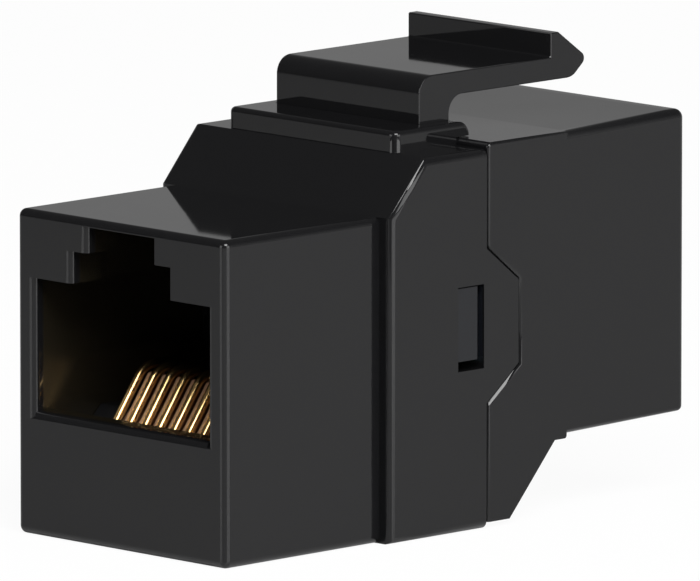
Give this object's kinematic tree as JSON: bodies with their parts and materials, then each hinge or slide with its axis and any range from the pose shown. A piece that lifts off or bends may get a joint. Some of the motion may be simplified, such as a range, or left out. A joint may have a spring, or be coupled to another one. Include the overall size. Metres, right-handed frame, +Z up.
{
  "type": "keystone jack coupler",
  "caption": "Black keystone snap-in coupler for modular network plugs, with a stepped port at each end, gold contact wires and a springy latch lever on top.",
  "frame": {"origin": "middle of the bounding box's bottom, on the surface that the front box and collar stand on", "axes": "+Y from the front port to the rear port, +X to the right seen from the front port, +Z up to the latch lever"},
  "size_m": [0.016, 0.0308, 0.0233],
  "materials": {
    "housing_plastic": "high gloss, moulded",
    "carrier_plastic": "satin",
    "board_laminate": "satin",
    "gold_wire": "polished, plated"
  },
  "bodies": {
    "housing": {"front_housing": "housing_plastic", "rear_housing": "housing_plastic", "front_contact_carrier": "carrier_plastic", "rear_contact_carrier": "carrier_plastic", "circuit_board": "board_laminate", "front_contact_tail_1": "gold_wire", "front_contact_tail_2": "gold_wire", "front_contact_tail_3": "gold_wire", "front_contact_tail_4": "gold_wire", "front_contact_tail_5": "gold_wire", "front_contact_tail_6": "gold_wire", "front_contact_tail_7": "gold_wire", "front_contact_tail_8": "gold_wire", "rear_contact_tail_1": "gold_wire", "rear_contact_tail_2": "gold_wire", "rear_contact_tail_3": "gold_wire", "rear_contact_tail_4": "gold_wire", "rear_contact_tail_5": "gold_wire", "rear_contact_tail_6": "gold_wire", "rear_contact_tail_7": "gold_wire", "rear_contact_tail_8": "gold_wire"},
    "latch": {"latch_lever": "housing_plastic"},
    "front_contacts": {"front_contact_spring_1": "gold_wire", "front_contact_spring_2": "gold_wire", "front_contact_spring_3": "gold_wire", "front_contact_spring_4": "gold_wire", "front_contact_spring_5": "gold_wire", "front_contact_spring_6": "gold_wire", "front_contact_spring_7": "gold_wire", "front_contact_spring_8": "gold_wire"},
    "rear_contacts": {"rear_contact_spring_1": "gold_wire", "rear_contact_spring_2": "gold_wire", "rear_contact_spring_3": "gold_wire", "rear_contact_spring_4": "gold_wire", "rear_contact_spring_5": "gold_wire", "rear_contact_spring_6": "gold_wire", "rear_contact_spring_7": "gold_wire", "rear_contact_spring_8": "gold_wire"}
  },
  "joints": [
    {"name": "latch_flex", "type": "hinge", "parent": "housing", "child": "latch", "pos_m": [0, 0.001, 0.01975], "axis": [1, 0, 0], "range_deg": [-9.5, 0], "stiffness_Nm_per_rad": 0.6},
    {"name": "front_contact_flex", "type": "hinge", "parent": "housing", "child": "front_contacts", "pos_m": [0, -0.01256, 0.0052], "axis": [1, 0, 0], "range_deg": [-13, 0], "stiffness_Nm_per_rad": 0.2},
    {"name": "rear_contact_flex", "type": "hinge", "parent": "housing", "child": "rear_contacts", "pos_m": [0, 0.01256, 0.01495], "axis": [1, 0, 0], "range_deg": [-13, 0], "stiffness_Nm_per_rad": 0.2}
  ]
}
